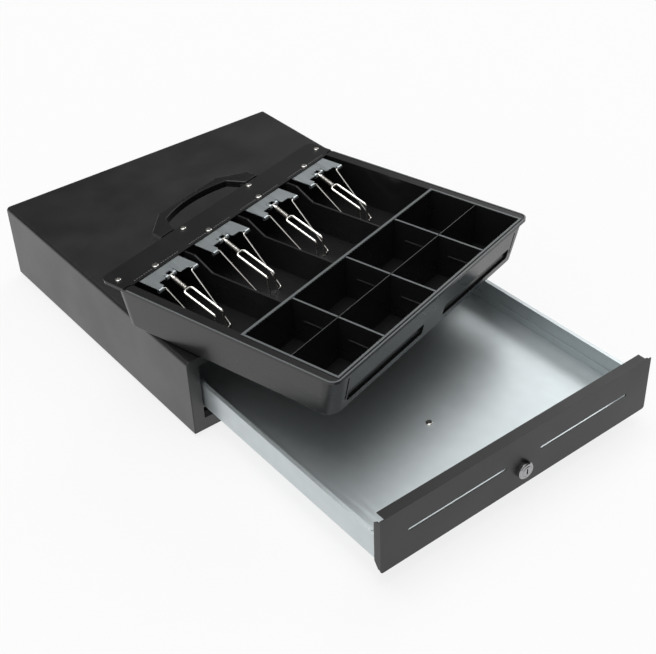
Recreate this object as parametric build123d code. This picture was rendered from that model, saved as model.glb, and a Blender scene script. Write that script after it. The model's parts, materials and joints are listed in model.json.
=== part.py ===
"""Steel cash drawer with its till tray lifted out and resting on the casing.

Frame: origin at the middle of the casing's footprint on the counter, +X to the
right, +Y to the rear, +Z up, millimetres. The drawer stands open at rest.
"""
from build123d import *
import os

os.makedirs("parts", exist_ok=True)

# ---- casing ----
CASE_W = 410.0
CASE_D = 428.0
CASE_TOP = 102.5
FOOT_H = 3.0
SHEET = 1.0
BEND_R = 5.0
FRONT_Y = -CASE_D / 2
REAR_Y = CASE_D / 2
INNER_X = CASE_W / 2 - SHEET
BASE_TOP = FOOT_H + SHEET
FRAME_T = 1.2
OPENING_X = 190.0
OPENING_Z0 = 18.8
OPENING_Z1 = 92.0
MOUNT_X = 240.0
MOUNT_Y = 280.0
MOUNT_HOLE_R = 2.6
FOOT_X = 175.0
FOOT_Y = 185.0

# ---- drawer ----
OPEN = 302.0
DRAWER_Y = FRONT_Y - OPEN
PANEL_W = 377.4
PANEL_T = 1.2
PANEL_Z0 = 20.0
PANEL_Z1 = 90.0
PANEL_FLANGE = 12.5
PAN_W = 374.0
PAN_L = 398.0
PAN_Z0 = 32.5
PAN_Z1 = 64.0
PAN_T = 1.0
PAN_LIP = 4.5
PAN_Y0 = DRAWER_Y + PANEL_T
PAN_Y1 = PAN_Y0 + PAN_L
SLOT_X0 = 24.0
SLOT_X1 = 154.0
SLOT_Z = 57.3
SLOT_H = 3.4
LOCK_Z = 43.5
LOCK_R = 9.0
LOCK_ROSE_R = 10.0
LOCK_OUT = 6.0
PLUG_R = 6.0
CATCH_X = -18.0
CATCH_Y = DRAWER_Y + 122.0
CATCH_Z0 = 24.5

# ---- rollers and rails ----
RAIL_Z = 53.2
RAIL_GAP = 16.0
RAIL_T = 1.2
REAR_ROLLER_R = 7.7
FRONT_ROLLER_R = 8.0
FRONT_ROLLER_Y = FRONT_Y + 22.0
FRONT_ROLLER_X = 176.0
PIN_R = 2.5
RUN_FIT = 0.06
AIR = 0.3

# ---- latch, ejector, switch and socket ----
PIVOT_Y = CATCH_Y + OPEN + 31.8
PIVOT_Z = 21.0
LATCH_ARM = 9.0
REAR_FACE = REAR_Y - 0.8 - SHEET
EJECT_X = 60.0
EJECT_Z = 46.0
EJECT_FRONT = PAN_Y1 + OPEN + 0.6
SWITCH_X = -70.0
SOCKET_X = 120.0
SOCKET_Z = 26.0
REAR_ROLLER_Y = PAN_Y1 - 13.0

# ---- till tray ----
TRAY_ANGLE = 14.9
TRAY_X = -146.4
TRAY_Y = FRONT_Y - 185.5
TRAY_Z = CASE_TOP + 0.2
TRAY_W = 374.0
TRAY_D = 322.0
TRAY_H = 55.0
TRAY_FLOOR = 2.5
RIM_T = 3.0
RIM_LIP = 1.5
RIM_R = 10.0
SIDE_DRAFT = 6.5
FRONT_DRAFT = 10.5
REAR_SHELF = 16.0
REAR_DRAFT = 6.0
WELL_X = 174.3
COIN_Y0 = 6.0
COIN_Y1 = 125.5
NOTE_Y0 = 128.5
NOTE_Y1 = 296.0
COIN_DIVIDER_X = 95.5
CROSS_Y = 64.5
NOTE_DIVIDER_X = 92.0
NOTE_DIVIDER_T = 2.5
LOW_Z = 40.3
PLATE_T = 1.2
PLATE_Y0 = 283.0
CLIP_X = (-134.0, -45.0, 45.0, 134.0)
CLIP_RIVET_Y = 288.5
KNUCKLE_Y = 254.5
KNUCKLE_Z = 52.4
FORK_Y = 266.5
FORK_Z = 51.8
LEG_R = 1.0
FORK_R = 1.5
SHANK_R = 1.3
FORK_BEND_Y = 243.0
FORK_BEND_Z = 42.5
CORNER_SCREWS = ((-177.5, 303.0), (177.5, 303.0))
HANDLE_SCREWS = ((-59.0, 315.5), (59.0, 315.5))
TILL_PLACE = Location((TRAY_X, TRAY_Y, TRAY_Z), (0, 0, TRAY_ANGLE)) * Location((TRAY_W / 2, 0, 0))


def save(name, shape):
    """Write one named piece to parts/."""
    export_step(shape, f"parts/{name}.step")


def box(x0, x1, y0, y1, z0, z1):
    """A box between two corners."""
    return Pos((x0 + x1) / 2, (y0 + y1) / 2, (z0 + z1) / 2) * Box(x1 - x0, y1 - y0, z1 - z0)


def rod(start, end, radius):
    """A cylinder from start to end."""
    a = Vector(*start)
    axis = Vector(*end) - a
    return Plane(a, z_dir=axis) * Cylinder(
        radius, axis.length, align=(Align.CENTER, Align.CENTER, Align.MIN)
    )


def wire(points, bends, radius):
    """A round wire through the points, with the given bend radii at its corners."""
    path = FilletPolyline(*points, radius=bends)
    return sweep(Plane(path @ 0, z_dir=path % 0) * Circle(radius), path)


def rounded_slab(width, y0, y1, z0, z1, corner):
    """A flat slab with rounded upright corners."""
    face = Pos(0, (y0 + y1) / 2) * RectangleRounded(width, y1 - y0, corner)
    return Pos(0, 0, z0) * extrude(face, z1 - z0)


def dome_screw(head_r, head_h, shank_r, shank_l):
    """A domed screw along Z: its head stands on z = 0 and its shank goes down."""
    head = Cylinder(head_r, head_h, align=(Align.CENTER, Align.CENTER, Align.MIN))
    head = fillet(head.edges().sort_by(Axis.Z)[-1], head_h * 0.7)
    head -= Pos(0, 0, head_h) * Box(head_r * 1.2, 0.8, head_h * 0.7)
    head -= Pos(0, 0, head_h) * Box(0.8, head_r * 1.2, head_h * 0.7)
    return head + rod((0, 0, 0.2), (0, 0, -shank_l), shank_r)


def in_till(shape):
    """Move a tray piece from the tray's own frame to where the tray lies."""
    return TILL_PLACE * shape


# ---- casing pieces ----
def casing_cover():
    """Top and both sides, one folded sheet."""
    outer = box(-CASE_W / 2, CASE_W / 2, FRONT_Y, REAR_Y, FOOT_H, CASE_TOP)
    top_edges = outer.edges().filter_by(Axis.Y).group_by(Axis.Z)[-1]
    outer = fillet(top_edges, BEND_R)
    inner = box(-INNER_X, INNER_X, FRONT_Y - 1, REAR_Y + 1, FOOT_H - 5, CASE_TOP - SHEET)
    inner = fillet(inner.edges().filter_by(Axis.Y).group_by(Axis.Z)[-1], BEND_R - SHEET)
    return outer - inner


def casing_base():
    """Floor sheet with turned-up sides, counter screw holes and foot holes."""
    depth = 12.0
    base = box(-INNER_X, INNER_X, FRONT_Y, REAR_Y, FOOT_H, BASE_TOP)
    for side in (-1, 1):
        x0, x1 = sorted((side * INNER_X, side * (INNER_X - SHEET)))
        base += box(x0, x1, FRONT_Y + 2, REAR_Y - 16, BASE_TOP, BASE_TOP + depth)
    for x in (-1, 1):
        for y in (-1, 1):
            base -= Pos(x * MOUNT_X / 2, y * MOUNT_Y / 2, FOOT_H) * Cylinder(MOUNT_HOLE_R, 6)
            base -= Pos(x * FOOT_X, y * FOOT_Y, FOOT_H) * Cylinder(3.0, 6)
    return base


def rear_panel():
    """Rear sheet with folded edges, a socket cut-out and four screw holes."""
    y1 = REAR_Y - 0.8
    y0 = y1 - SHEET
    z0, z1 = BASE_TOP, CASE_TOP - SHEET
    panel = box(-INNER_X, INNER_X, y0, y1, z0, z1)
    panel &= rounded_top_block(y0, y1)
    for side in (-1, 1):
        x0, x1 = sorted((side * INNER_X, side * (INNER_X - SHEET)))
        panel += box(x0, x1, y0 - 10, y0, z0 + 2, z1 - BEND_R)
    panel -= box(SOCKET_X - 7, SOCKET_X + 7, y0 - 1, y1 + 1, SOCKET_Z - 6.5, SOCKET_Z + 6.5)
    for x, z in rear_screw_places():
        panel -= rod((x, y0 - 1, z), (x, y1 + 1, z), 1.6)
    return panel


def rounded_top_block(y0, y1):
    """The space inside the cover, with its rounded top edges."""
    space = box(-INNER_X, INNER_X, y0, y1, BASE_TOP, CASE_TOP - SHEET)
    return fillet(space.edges().filter_by(Axis.Y).group_by(Axis.Z)[-1], BEND_R - SHEET)


def rear_screw_places():
    """Where the rear panel's screws go."""
    return [(x, z) for x in (-185.0, 185.0) for z in (16.0, 88.0)]


def front_frame():
    """Front sheet round the drawer's opening, with its inner edges folded back."""
    frame = rounded_top_block(FRONT_Y, FRONT_Y + FRAME_T)
    frame -= box(-OPENING_X, OPENING_X, FRONT_Y - 1, FRONT_Y + 5, OPENING_Z0, OPENING_Z1)
    back = FRONT_Y + 10.0
    for side in (-1, 1):
        x0, x1 = sorted((side * OPENING_X, side * (OPENING_X + FRAME_T)))
        frame += box(x0, x1, FRONT_Y, back, OPENING_Z0, OPENING_Z1)
    wide = OPENING_X + FRAME_T
    frame += box(-wide, wide, FRONT_Y, back, OPENING_Z1, OPENING_Z1 + FRAME_T)
    frame += box(-wide, wide, FRONT_Y, back, OPENING_Z0 - FRAME_T, OPENING_Z0)
    return frame


def rail(side):
    """C-shaped rail on one side wall, open towards the drawer, with a front stop."""
    y0, y1 = FRONT_Y + 14.0, REAR_Y - 14.0
    x_wall, x_open = INNER_X, 191.8
    half = RAIL_GAP / 2
    c = box(x_wall - RAIL_T, x_wall, y0, y1, RAIL_Z - half - RAIL_T, RAIL_Z + half + RAIL_T)
    c += box(x_open, x_wall, y0, y1, RAIL_Z + half, RAIL_Z + half + RAIL_T)
    c += box(x_open, x_wall, y0, y1, RAIL_Z - half - RAIL_T, RAIL_Z - half)
    stop_y = REAR_ROLLER_Y - REAR_ROLLER_R - 0.8
    c += box(195.0, x_wall - RAIL_T, stop_y - 5, stop_y, RAIL_Z - half, RAIL_Z + half)
    return c if side > 0 else mirror(c, Plane.YZ)


def roller_bracket(side):
    """Bent bracket on the base that carries a front roller's pin."""
    x0 = FRONT_ROLLER_X + 7.2
    y = FRONT_ROLLER_Y
    z = front_roller_z()
    b = box(x0, x0 + 1.5, y - 8, y + 14, BASE_TOP, z + 6)
    b += box(x0, x0 + 14, y - 8, y + 14, BASE_TOP, BASE_TOP + 1.5)
    pin = rod((x0 - 15, y, z), (x0 + 0.5, y, z), PIN_R)
    pin += rod((x0 - 16.5, y, z), (x0 - 15, y, z), PIN_R + 1.5)
    b += pin
    return b if side > 0 else mirror(b, Plane.YZ)


def front_roller_z():
    """Axle height that leaves the roller just under the pan."""
    return PAN_Z0 - AIR - FRONT_ROLLER_R


def roller(x0, x1, y, z, radius):
    """Nylon roller with a running bore and eased rims."""
    body = rod((x0, y, z), (x1, y, z), radius)
    body = chamfer(body.edges().filter_by(GeomType.CIRCLE), 0.8)
    return body - rod((x0 - 1, y, z), (x1 + 1, y, z), PIN_R + RUN_FIT)


def front_roller(side):
    """One support roller near the casing's front edge."""
    x0, x1 = FRONT_ROLLER_X - 7.0, FRONT_ROLLER_X + 6.2
    body = roller(x0, x1, FRONT_ROLLER_Y, front_roller_z(), FRONT_ROLLER_R)
    return body if side > 0 else mirror(body, Plane.YZ)


def rear_roller(side):
    """One roller on the drawer's rear end, inside the C rail."""
    body = roller(192.6, 201.8, REAR_ROLLER_Y, RAIL_Z, REAR_ROLLER_R)
    return body if side > 0 else mirror(body, Plane.YZ)


def rear_roller_pins():
    """The two shouldered pins riveted to the pan's side walls."""
    pins = []
    for side in (-1, 1):
        wall, tip = side * PAN_W / 2, side * 202.3
        y, z = REAR_ROLLER_Y, RAIL_Z
        pin = rod((wall, y, z), (tip, y, z), PIN_R)
        pin += rod((wall, y, z), (side * 192.2, y, z), PIN_R + 1.6)
        pins.append(pin)
    return Compound(pins)


def rubber_feet():
    """Four push-in feet."""
    feet = []
    for x in (-1, 1):
        for y in (-1, 1):
            foot = Cylinder(9, FOOT_H, align=(Align.CENTER, Align.CENTER, Align.MIN))
            foot = fillet(foot.edges().sort_by(Axis.Z)[0], 1.0)
            foot += rod((0, 0, FOOT_H - 0.5), (0, 0, BASE_TOP + 0.5), 3.0)
            foot += rod((0, 0, BASE_TOP), (0, 0, BASE_TOP + 1.5), 4.2)
            feet.append(Pos(x * FOOT_X, y * FOOT_Y, 0) * foot)
    return Compound(feet)


def rear_panel_screws():
    """Four screws that hold the rear panel's corners."""
    screws = []
    for x, z in rear_screw_places():
        place = Plane((x, REAR_Y - 0.8, z), z_dir=(0, 1, 0))
        screws.append(place * dome_screw(3.2, 0.7, 1.5, 8))
    return Compound(screws)


# ---- latch, ejector, switch and socket pieces ----
def latch_bracket():
    """U-shaped bracket for the latch's pivot pin."""
    x, y, z = CATCH_X, PIVOT_Y, PIVOT_Z
    b = box(x - 9, x + 9, y - 8, y + 8, BASE_TOP, BASE_TOP + 1.5)
    for side in (-1, 1):
        x0, x1 = sorted((x + side * 7.5, x + side * 9))
        b += box(x0, x1, y - 5, y + 5, BASE_TOP, z + 4.5)
    return b + rod((x - 9.5, y, z), (x + 9.5, y, z), 2.0)


def latch_hook():
    """Hook that rises in front of the drawer's catch to hold it shut."""
    x, y, z = CATCH_X, PIVOT_Y, PIVOT_Z
    outline = Polyline(
        (y - 42.4, z - 4.4), (y, z - 4.4), (y + 4.2, z), (y + 3, z + 2.8), (y - 6, z + 2.8),
        (y - 12, z - 1.2), (y - 39, z - 1.2), (y - 39, z + 2.9), (y - 42.4, z + 2.9), close=True,
    )
    arm = extrude(Plane.YZ * make_face(outline), 3.0, both=True)
    tail = box(-3.0, 3.0, y - 3, y + 3, z - LATCH_ARM - 3.2, z)
    hook = Pos(x, 0, 0) * (arm + tail)
    hook -= rod((x - 5, y, z), (x + 5, y, z), 2.0 + RUN_FIT)
    slot = box(x - 5, x + 5, y - 1.2, y + 1.2, z - LATCH_ARM - 1.8, z - LATCH_ARM + 1.8)
    return hook - slot


def solenoid_frame():
    """Open steel frame round the coil, screwed to the base."""
    y0 = PIVOT_Y + 16.0
    x, z = CATCH_X, PIVOT_Z - LATCH_ARM
    f = box(x - 11, x + 11, y0, y0 + 36, BASE_TOP, z + 9.5)
    f -= box(x - 12, x + 12, y0 + 1.6, y0 + 34.4, BASE_TOP + 1.6, z + 7.9)
    return f - rod((x, y0 - 1, z), (x, y0 + 3, z), 3.5)


def solenoid_coil():
    """Taped winding on its bobbin."""
    y0 = PIVOT_Y + 17.6
    x, z = CATCH_X, PIVOT_Z - LATCH_ARM
    coil = rod((x, y0, z), (x, y0 + 32.8, z), 6.2)
    for y1 in (y0, y0 + 31.3):
        coil = coil + box(x - 9, x + 9, y1, y1 + 1.5, z - 6.4, z + 7.9)
    return coil - rod((x, y0 - 1, z), (x, y0 + 26, z), 3.5)


def solenoid_plunger():
    """Sliding core with a cross pin that works the latch's tail."""
    x, z = CATCH_X, PIVOT_Z - LATCH_ARM
    core = rod((x, PIVOT_Y + 6, z), (x, PIVOT_Y + 38, z), 3.1)
    for side in (-1, 1):
        x0, x1 = sorted((x + side * 3.4, x + side * 5.0))
        core += box(x0, x1, PIVOT_Y - 2.5, PIVOT_Y + 8, z - 2.2, z + 2.2)
    core += box(x - 5, x + 5, PIVOT_Y + 6, PIVOT_Y + 8, z - 2.2, z + 2.2)
    return core + rod((x - 5, PIVOT_Y, z), (x + 5, PIVOT_Y, z), 1.0)


def ejector_guide():
    """Plate and rod behind the drawer that carry the ejector."""
    x, z = EJECT_X, EJECT_Z
    plate = box(x - 12, x + 12, REAR_FACE - 1.5, REAR_FACE, z - 14, z + 14)
    return plate + rod((x, EJECT_FRONT + 1.6, z), (x, REAR_FACE, z), 2.5)


def ejector_pusher():
    """Nylon pusher that the spring presses against the closed drawer."""
    x, y, z = EJECT_X, EJECT_FRONT, EJECT_Z
    cap = rod((x, y, z), (x, y + 3, z), 8.0)
    cap = chamfer(cap.edges().sort_by(Axis.Y)[0], 1.0)
    cap += rod((x, y + 2, z), (x, y + 12, z), 4.0)
    return cap - rod((x, y + 1.2, z), (x, y + 13, z), 2.5 + RUN_FIT)


def ejector_spring():
    """Compression spring round the pusher's stem."""
    y0 = EJECT_FRONT + 3.0
    length = REAR_FACE - 1.5 - y0
    helix = Helix(pitch=(length - 1.4) / 4.0, height=length - 1.4, radius=5.3)
    coil = sweep(Plane(helix @ 0, z_dir=helix % 0) * Circle(0.7), helix)
    return Plane((EJECT_X, y0 + 0.7, EJECT_Z), z_dir=(0, 1, 0)) * coil


def drawer_switch():
    """Sealed magnetic switch on the rear panel that reports the drawer as closed."""
    s = box(SWITCH_X - 7, SWITCH_X + 7, REAR_FACE - 22, REAR_FACE, 38, 50)
    return chamfer(s.edges().filter_by(Axis.X).group_by(Axis.Y)[0], 1.5)


def cable_socket():
    """Modular socket in the rear panel's cut-out."""
    y1 = REAR_Y - 0.3
    s = box(SOCKET_X - 6.9, SOCKET_X + 6.9, y1 - 16, y1, SOCKET_Z - 6.4, SOCKET_Z + 6.4)
    s -= box(SOCKET_X - 5, SOCKET_X + 5, y1 - 11, y1 + 1, SOCKET_Z - 4, SOCKET_Z + 3.5)
    return s - box(SOCKET_X - 2, SOCKET_X + 2, y1 - 11, y1 + 1, SOCKET_Z + 3, SOCKET_Z + 5.2)


def interface_board():
    """Circuit board under the socket, on two posts."""
    y1 = REAR_Y - 6.0
    z = SOCKET_Z - 6.4
    b = box(SOCKET_X - 22, SOCKET_X + 22, y1 - 34, y1, z - 1.6, z)
    for side in (-1, 1):
        x = SOCKET_X + side * 17
        b += rod((x, y1 - 17, BASE_TOP), (x, y1 - 17, z - 1.0), 3.0)
    return b


# ---- drawer pieces ----
def drawer_pan():
    """Folded galvanised pan: floor, four walls and inward top edges."""
    hx = PAN_W / 2
    pan = box(-hx, hx, PAN_Y0, PAN_Y1, PAN_Z0, PAN_Z0 + PAN_T)
    for side in (-1, 1):
        x0, x1 = sorted((side * hx, side * (hx - PAN_T)))
        pan += box(x0, x1, PAN_Y0, PAN_Y1, PAN_Z0, PAN_Z1)
        x0, x1 = sorted((side * hx, side * (hx - PAN_LIP)))
        pan += box(x0, x1, PAN_Y0 + 16, PAN_Y1, PAN_Z1 - PAN_T, PAN_Z1)
        x0, x1 = sorted((side * (hx - PAN_T), side * (hx - PAN_T - 1.5)))
        pan += box(x0, x1, PAN_Y0 + PAN_T, PAN_Y1 - PAN_T, PAN_Z0 + PAN_T, PAN_Z0 + 11)
    pan += box(-hx, hx, PAN_Y1 - PAN_T, PAN_Y1, PAN_Z0, PAN_Z1)
    pan += box(-hx, hx, PAN_Y1 - PAN_LIP, PAN_Y1, PAN_Z1 - PAN_T, PAN_Z1)
    pan += box(-hx, hx, PAN_Y0, PAN_Y0 + PAN_T, PAN_Z0, SLOT_Z - SLOT_H / 2 - 1.5)
    pan -= rod((0, PAN_Y0 - 1, LOCK_Z), (0, PAN_Y0 + 3, LOCK_Z), LOCK_R + 0.1)
    pan -= Pos(CATCH_X, CATCH_Y, PAN_Z0) * Cylinder(2.0, 6)
    for x in (-1, 1):
        for z in (40.0, 50.0):
            pan -= rod((x * 170, PAN_Y0 - 1, z), (x * 170, PAN_Y0 + 3, z), 1.6)
    return pan


def media_slot(x0, x1):
    """Cutter for one long slot with rounded ends."""
    return extrude(
        Plane((0, DRAWER_Y - 1, 0), x_dir=(1, 0, 0), z_dir=(0, -1, 0))
        * Pos((x0 + x1) / 2, SLOT_Z)
        * SlotOverall(x1 - x0, SLOT_H),
        -6,
    )


def front_panel():
    """Painted front with folded edges, two media slots and the lock's hole."""
    hx = PANEL_W / 2
    y1 = DRAWER_Y + PANEL_T
    face = box(-hx, hx, DRAWER_Y, y1, PANEL_Z0, PANEL_Z1)
    low = face.edges().filter_by(Axis.Y).group_by(Axis.Z)[0]
    face = fillet(low, 3.5)
    back = DRAWER_Y + PANEL_FLANGE
    panel = face + box(-hx + 6, hx - 6, DRAWER_Y, back, PANEL_Z1 - PANEL_T, PANEL_Z1)
    panel += box(-hx + 8, hx - 8, DRAWER_Y, back - 2.5, PANEL_Z0, PANEL_Z0 + PANEL_T)
    cheek = Polyline(
        (DRAWER_Y, PANEL_Z0 + 4), (DRAWER_Y + 4, PANEL_Z0 + 4), (DRAWER_Y + 9.5, PANEL_Z0 + 12),
        (DRAWER_Y + 9.5, PANEL_Z1 - 7), (DRAWER_Y + 5, PANEL_Z1 - 3), (DRAWER_Y, PANEL_Z1 - 3), close=True,
    )
    cheek_face = Plane.YZ * make_face(cheek)
    panel += Pos(-hx, 0, 0) * extrude(cheek_face, PANEL_T)
    panel += Pos(hx - PANEL_T, 0, 0) * extrude(cheek_face, PANEL_T)
    panel -= media_slot(SLOT_X0, SLOT_X1)
    panel -= media_slot(-SLOT_X1, -SLOT_X0)
    return panel - rod((0, DRAWER_Y - 1, LOCK_Z), (0, y1 + 1, LOCK_Z), LOCK_R + 0.05)


def lock_housing():
    """Threaded lock body with its round rose."""
    rose = rod((0, DRAWER_Y - LOCK_OUT, LOCK_Z), (0, DRAWER_Y, LOCK_Z), LOCK_ROSE_R)
    rose = chamfer(rose.edges().sort_by(Axis.Y)[0], 1.4)
    body = rose + rod((0, DRAWER_Y - 0.5, LOCK_Z), (0, DRAWER_Y + 20, LOCK_Z), LOCK_R)
    bore = rod((0, DRAWER_Y - 9, LOCK_Z), (0, DRAWER_Y + 21, LOCK_Z), PLUG_R + RUN_FIT)
    return body - bore


def lock_nut():
    """Hexagonal nut behind the pan's front wall."""
    y0 = PAN_Y0 + PAN_T
    plane = Plane((0, y0, LOCK_Z), x_dir=(1, 0, 0), z_dir=(0, 1, 0))
    nut = extrude(plane * RegularPolygon(11.4, 6, major_radius=False), 3.5)
    nut -= box(-30, 30, y0 - 1, y0 + 9, 20, PAN_Z0 + PAN_T + 0.2)
    return nut - rod((0, y0 - 1, LOCK_Z), (0, y0 + 9, LOCK_Z), LOCK_R)


def lock_plug():
    """Turning plug with its keyway."""
    y0 = DRAWER_Y - LOCK_OUT - 0.4
    plug = rod((0, y0, LOCK_Z), (0, DRAWER_Y + 21, LOCK_Z), PLUG_R)
    plug = chamfer(plug.edges().sort_by(Axis.Y)[0], 0.5)
    return plug - box(-0.9, 0.9, y0 - 1, y0 + 8, LOCK_Z - 3.6, LOCK_Z + 3.6)


def lock_cam():
    """Flat cam riveted to the plug's inner end."""
    y0 = DRAWER_Y + 21
    lever = box(-5, 5, y0, y0 + 1.6, LOCK_Z - 5, LOCK_Z + 18)
    lever = fillet(lever.edges().filter_by(Axis.Y), 4.5)
    return lever + rod((0, y0, LOCK_Z), (0, y0 + 3.0, LOCK_Z), 3.4)


def drawer_catch():
    """Block under the pan that the latch hooks."""
    x, y = CATCH_X, CATCH_Y
    block = box(x - 8, x + 8, y - 6, y + 6, CATCH_Z0, PAN_Z0)
    block = fillet(block.edges().filter_by(Axis.X).group_by(Axis.Z)[0], 2.5)
    return block - Pos(x, y, PAN_Z0) * Cylinder(2.0, 8)


def catch_rivet():
    """Domed rivet that holds the catch, showing in the drawer's floor."""
    z = PAN_Z0 + PAN_T
    head = Cylinder(4.2, 1.6, align=(Align.CENTER, Align.CENTER, Align.MIN))
    head = fillet(head.edges().sort_by(Axis.Z)[-1], 1.2)
    rivet = head + rod((0, 0, 0.2), (0, 0, -5.0), 2.0)
    return Pos(CATCH_X, CATCH_Y, z) * rivet


def panel_rivets():
    """Four rivets that join the pan to the front panel's back."""
    rivets = []
    for x in (-1, 1):
        for z in (40.0, 50.0):
            stem = rod((x * 170, PAN_Y0, z), (x * 170, PAN_Y0 + 1.2, z), 1.6)
            head = rod((x * 170, PAN_Y0 + PAN_T, z), (x * 170, PAN_Y0 + PAN_T + 1.2, z), 3.0)
            rivets.append(stem + head)
    return Compound(rivets)


# ---- till tray pieces, in the tray's own frame: x across, y from its front rim, z from its underside ----
def tray_shell():
    """Drafted outer form of the moulding, with its flat rim."""
    z1 = TRAY_H - RIM_T
    top_w = TRAY_W - 2 * RIM_LIP
    low_w = top_w - 2 * SIDE_DRAFT
    top_y = (RIM_LIP, TRAY_D - REAR_SHELF)
    low_y = (RIM_LIP + FRONT_DRAFT, TRAY_D - REAR_SHELF - REAR_DRAFT)
    low = Pos(0, sum(low_y) / 2, 0) * RectangleRounded(low_w, low_y[1] - low_y[0], 16)
    high = Pos(0, sum(top_y) / 2, z1) * RectangleRounded(top_w, top_y[1] - top_y[0], 18)
    shell = loft([low, high])
    shell = fillet(shell.faces().sort_by(Axis.Z)[0].edges(), 3.0)
    return shell + rounded_slab(TRAY_W, 0, TRAY_D, z1, TRAY_H, RIM_R)


def coin_well():
    """The coin section's cavity, with a sloping front."""
    slope = 12.0
    low = Pos(0, (COIN_Y0 + slope + COIN_Y1) / 2, TRAY_FLOOR) * Rectangle(
        2 * WELL_X, COIN_Y1 - COIN_Y0 - slope
    )
    high = Pos(0, (COIN_Y0 + COIN_Y1) / 2, TRAY_H + 2) * Rectangle(2 * WELL_X, COIN_Y1 - COIN_Y0)
    return loft([low, high])


def note_divider(x):
    """Fixed wall between two note wells: high at the rear, low towards the coins."""
    outline = Polyline(
        (NOTE_Y0, TRAY_FLOOR - 1), (NOTE_Y0, LOW_Z), (242.5, LOW_Z), (267.7, TRAY_H),
        (NOTE_Y1, TRAY_H), (NOTE_Y1, TRAY_FLOOR - 1), close=True,
    )
    wall = extrude(Plane.YZ * make_face(outline), NOTE_DIVIDER_T / 2, both=True)
    return Pos(x, 0, 0) * wall


def rim_beads():
    """Raised line round the coin section and along the rim's outer edge."""
    y0, y1 = COIN_Y0 - 2.4, NOTE_Y0
    bead = box(-WELL_X - 2.4, WELL_X + 2.4, y0, y1, TRAY_H, TRAY_H + 0.8)
    bead -= box(-WELL_X, WELL_X, COIN_Y0, COIN_Y1, TRAY_H - 1, TRAY_H + 2)
    ridge = rounded_slab(TRAY_W, 0, TRAY_D, TRAY_H, TRAY_H + 0.6, RIM_R)
    ridge -= rounded_slab(TRAY_W - 3.0, 1.5, TRAY_D - 1.5, TRAY_H - 1, TRAY_H + 2, RIM_R - 1.5)
    ridge -= box(-TRAY_W, TRAY_W, PLATE_Y0 - 0.5, TRAY_D + 9, TRAY_H - 1, TRAY_H + 2)
    return bead, ridge


def grip_recess(x0, x1):
    """Cutter for one finger recess in the moulding's front wall."""
    cutter = box(x0, x1, -5, 12.5, 10, 24)
    return fillet(cutter.edges().filter_by(Axis.Y), 2.5)


def front_wall_y(z):
    """Where the moulding's sloping front wall is at a height."""
    return RIM_LIP + FRONT_DRAFT * (1 - z / (TRAY_H - RIM_T))


def front_groove(x):
    """Cutter for the upright groove beside a finger recess."""
    z0, z1 = 15.0, 45.0
    y0, y1 = front_wall_y(z0), front_wall_y(z1)
    outline = Polyline((y0 - 4, z0), (y0 + 1.3, z0), (y1 + 1.3, z1), (y1 - 4, z1), close=True)
    return Pos(x, 0, 0) * extrude(Plane.YZ * make_face(outline), 1.1, both=True)


def tray_moulding():
    """The black till: rim, walls, four note wells and the coin section."""
    tray = tray_shell()
    tray -= coin_well()
    tray -= box(-WELL_X, WELL_X, NOTE_Y0, NOTE_Y1, TRAY_FLOOR, TRAY_H + 5)
    for x in (-NOTE_DIVIDER_X, 0, NOTE_DIVIDER_X):
        tray += note_divider(x)
    for piece in rim_beads():
        tray += piece
    for side in (-1, 1):
        x0, x1 = sorted((side * 20.0, side * 157.0))
        tray -= grip_recess(x0, x1)
        tray -= front_groove(side * 160.5)
    for x, y in CORNER_SCREWS:
        tray -= rod((x, y, TRAY_H - 11), (x, y, TRAY_H + 1), 1.75)
    for x, y in HANDLE_SCREWS:
        tray -= rod((x, y, TRAY_H - 5), (x, y, TRAY_H + 1), 2.05)
    return tray


def coin_divider(x):
    """Loose upright divider, running from the front wall to the coin wall."""
    gap = 0.4
    outline = Polyline(
        (COIN_Y0 + 12 + gap, TRAY_FLOOR), (COIN_Y0 + gap, TRAY_H + 0.4),
        (COIN_Y1 - gap, TRAY_H + 0.4), (COIN_Y1 - gap, TRAY_FLOOR), close=True,
    )
    wall = extrude(Plane.YZ * make_face(outline), 1.2, both=True)
    wall -= box(-5, 5, CROSS_Y - 0.8, CROSS_Y + 0.8, 30, TRAY_H + 9)
    wall += box(-2.4, 0, CROSS_Y + 3, COIN_Y1 - 16, 31, 32.2)
    wall += box(-2.4, 0, COIN_Y0 + 8, CROSS_Y - 14, 31, 32.2)
    return Pos(x, 0, 0) * wall


def coin_cross_divider():
    """Thin divider across the coin section, half-lapped over the others."""
    wall = box(-WELL_X + 0.4, WELL_X - 0.4, CROSS_Y - 0.6, CROSS_Y + 0.6, TRAY_FLOOR, TRAY_H + 0.2)
    for x in (-COIN_DIVIDER_X, 0, COIN_DIVIDER_X):
        wall -= box(x - 1.4, x + 1.4, CROSS_Y - 5, CROSS_Y + 5, 0, 30.2)
    return wall


def cover_plate():
    """Steel plate over the rear of the till, set back at its front corners."""
    hx = TRAY_W / 2
    outline = Polyline(
        (-hx, TRAY_D), (-hx, PLATE_Y0 + 3.5), (-hx + 9, PLATE_Y0 + 3.5), (-hx + 14, PLATE_Y0),
        (hx - 14, PLATE_Y0), (hx - 9, PLATE_Y0 + 3.5), (hx, PLATE_Y0 + 3.5), (hx, TRAY_D), close=True,
    )
    plate = Pos(0, 0, TRAY_H) * extrude(make_face(outline), PLATE_T)
    rear = plate.edges().filter_by(Axis.Z).group_by(Axis.Y)[-1]
    plate = fillet(rear, RIM_R - 1)
    for x, y in CORNER_SCREWS + HANDLE_SCREWS:
        plate -= Pos(x, y, TRAY_H) * Cylinder(2.05, 6)
    for x in CLIP_X:
        plate -= Pos(x, CLIP_RIVET_Y, TRAY_H) * Cylinder(2.0, 6)
    return plate


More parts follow.
